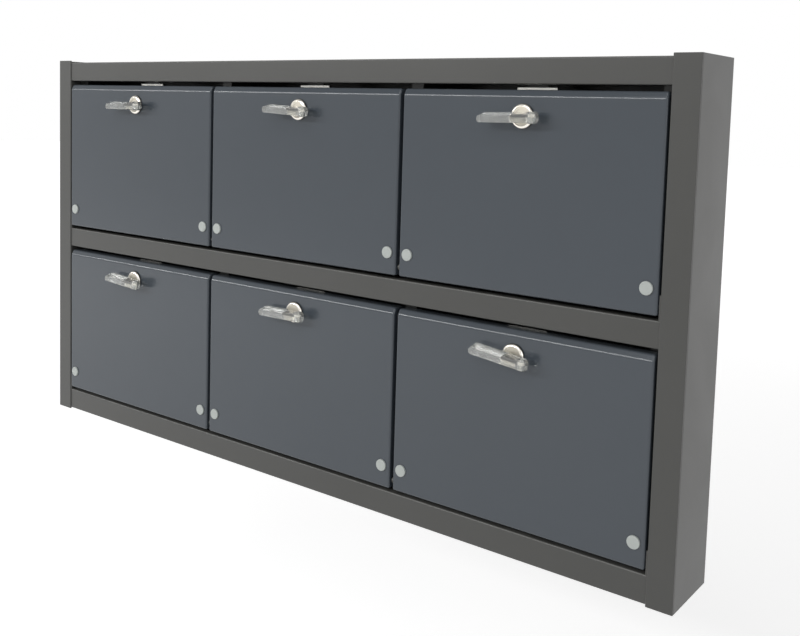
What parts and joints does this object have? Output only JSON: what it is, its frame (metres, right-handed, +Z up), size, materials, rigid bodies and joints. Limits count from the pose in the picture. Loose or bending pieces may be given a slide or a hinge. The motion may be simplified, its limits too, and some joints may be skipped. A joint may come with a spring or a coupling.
{
  "type": "phone storage locker",
  "caption": "Shallow wall-mounted steel cabinet with rows of slate drop-down doors, each with a nickel cam lock and a clear-bowed key, for locking phones away.",
  "frame": {"origin": "middle of the four wall-fixing holes, on the back face", "axes": "+X along the front to the right as seen from the front, +Y from the front to the wall, +Z up"},
  "size_m": [0.8, 0.0871, 0.431],
  "materials": {
    "frame_paint": "satin powder coat, dark warm grey",
    "door_lacquer": "satin lacquered board, slate blue-grey",
    "pale_nylon": "natural pale grey nylon",
    "nickel": "polished nickel plate",
    "zinc_steel": "bright zinc plate",
    "key_steel": "nickel-plated steel",
    "clear_plastic": "clear moulded plastic"
  },
  "bodies": {
    "cabinet": {"left_post": "frame_paint", "right_post": "frame_paint", "left_side_panel": "frame_paint", "right_side_panel": "frame_paint", "top_panel": "frame_paint", "middle_shelf": "frame_paint", "bottom_panel": "frame_paint", "back_panel": "frame_paint", "dividers": "frame_paint", "lock_keepers": "zinc_steel", "keeper_rivets": "zinc_steel", "pivot_pins": "zinc_steel"},
    "door_1": {"door_panel_1": "door_lacquer", "pivot_blocks_1": "pale_nylon", "lock_body_1": "nickel", "lock_nut_1": "nickel"},
    "lock_1": {"lock_plug_1": "nickel", "lock_cam_1": "zinc_steel"},
    "key_1": {"key_blade_1": "key_steel", "key_bow_1": "clear_plastic"},
    "door_2": {"door_panel_2": "door_lacquer", "pivot_blocks_2": "pale_nylon", "lock_body_2": "nickel", "lock_nut_2": "nickel"},
    "lock_2": {"lock_plug_2": "nickel", "lock_cam_2": "zinc_steel"},
    "key_2": {"key_blade_2": "key_steel", "key_bow_2": "clear_plastic"},
    "door_3": {"door_panel_3": "door_lacquer", "pivot_blocks_3": "pale_nylon", "lock_body_3": "nickel", "lock_nut_3": "nickel"},
    "lock_3": {"lock_plug_3": "nickel", "lock_cam_3": "zinc_steel"},
    "key_3": {"key_blade_3": "key_steel", "key_bow_3": "clear_plastic"},
    "door_4": {"door_panel_4": "door_lacquer", "pivot_blocks_4": "pale_nylon", "lock_body_4": "nickel", "lock_nut_4": "nickel"},
    "lock_4": {"lock_plug_4": "nickel", "lock_cam_4": "zinc_steel"},
    "key_4": {"key_blade_4": "key_steel", "key_bow_4": "clear_plastic"},
    "door_5": {"door_panel_5": "door_lacquer", "pivot_blocks_5": "pale_nylon", "lock_body_5": "nickel", "lock_nut_5": "nickel"},
    "lock_5": {"lock_plug_5": "nickel", "lock_cam_5": "zinc_steel"},
    "key_5": {"key_blade_5": "key_steel", "key_bow_5": "clear_plastic"},
    "door_6": {"door_panel_6": "door_lacquer", "pivot_blocks_6": "pale_nylon", "lock_body_6": "nickel", "lock_nut_6": "nickel"},
    "lock_6": {"lock_plug_6": "nickel", "lock_cam_6": "zinc_steel"},
    "key_6": {"key_blade_6": "key_steel", "key_bow_6": "clear_plastic"}
  },
  "joints": [
    {"name": "door_1_drop", "type": "hinge", "parent": "cabinet", "child": "door_1", "pos_m": [-0.25167, -0.065, 0.0225], "axis": [1, 0, 0], "range_deg": [0, 90]},
    {"name": "lock_1_turn", "type": "hinge", "parent": "door_1", "child": "lock_1", "pos_m": [-0.25167, -0.065, 0.1647], "axis": [0, -1, 0], "range_deg": [0, 90]},
    {"name": "key_1_withdraw", "type": "slide", "parent": "lock_1", "child": "key_1", "axis": [0, -1, 0], "range_m": [0, 0.026]},
    {"name": "door_2_drop", "type": "hinge", "parent": "cabinet", "child": "door_2", "pos_m": [0, -0.065, 0.0225], "axis": [1, 0, 0], "range_deg": [0, 90]},
    {"name": "lock_2_turn", "type": "hinge", "parent": "door_2", "child": "lock_2", "pos_m": [0, -0.065, 0.1647], "axis": [0, -1, 0], "range_deg": [0, 90]},
    {"name": "key_2_withdraw", "type": "slide", "parent": "lock_2", "child": "key_2", "axis": [0, -1, 0], "range_m": [0, 0.026]},
    {"name": "door_3_drop", "type": "hinge", "parent": "cabinet", "child": "door_3", "pos_m": [0.25167, -0.065, 0.0225], "axis": [1, 0, 0], "range_deg": [0, 90]},
    {"name": "lock_3_turn", "type": "hinge", "parent": "door_3", "child": "lock_3", "pos_m": [0.25167, -0.065, 0.1647], "axis": [0, -1, 0], "range_deg": [0, 90]},
    {"name": "key_3_withdraw", "type": "slide", "parent": "lock_3", "child": "key_3", "axis": [0, -1, 0], "range_m": [0, 0.026]},
    {"name": "door_4_drop", "type": "hinge", "parent": "cabinet", "child": "door_4", "pos_m": [-0.25167, -0.065, -0.1795], "axis": [1, 0, 0], "range_deg": [0, 90]},
    {"name": "lock_4_turn", "type": "hinge", "parent": "door_4", "child": "lock_4", "pos_m": [-0.25167, -0.065, -0.0373], "axis": [0, -1, 0], "range_deg": [0, 90]},
    {"name": "key_4_withdraw", "type": "slide", "parent": "lock_4", "child": "key_4", "axis": [0, -1, 0], "range_m": [0, 0.026]},
    {"name": "door_5_drop", "type": "hinge", "parent": "cabinet", "child": "door_5", "pos_m": [0, -0.065, -0.1795], "axis": [1, 0, 0], "range_deg": [0, 90]},
    {"name": "lock_5_turn", "type": "hinge", "parent": "door_5", "child": "lock_5", "pos_m": [0, -0.065, -0.0373], "axis": [0, -1, 0], "range_deg": [0, 90]},
    {"name": "key_5_withdraw", "type": "slide", "parent": "lock_5", "child": "key_5", "axis": [0, -1, 0], "range_m": [0, 0.026]},
    {"name": "door_6_drop", "type": "hinge", "parent": "cabinet", "child": "door_6", "pos_m": [0.25167, -0.065, -0.1795], "axis": [1, 0, 0], "range_deg": [0, 90]},
    {"name": "lock_6_turn", "type": "hinge", "parent": "door_6", "child": "lock_6", "pos_m": [0.25167, -0.065, -0.0373], "axis": [0, -1, 0], "range_deg": [0, 90]},
    {"name": "key_6_withdraw", "type": "slide", "parent": "lock_6", "child": "key_6", "axis": [0, -1, 0], "range_m": [0, 0.026]}
  ]
}
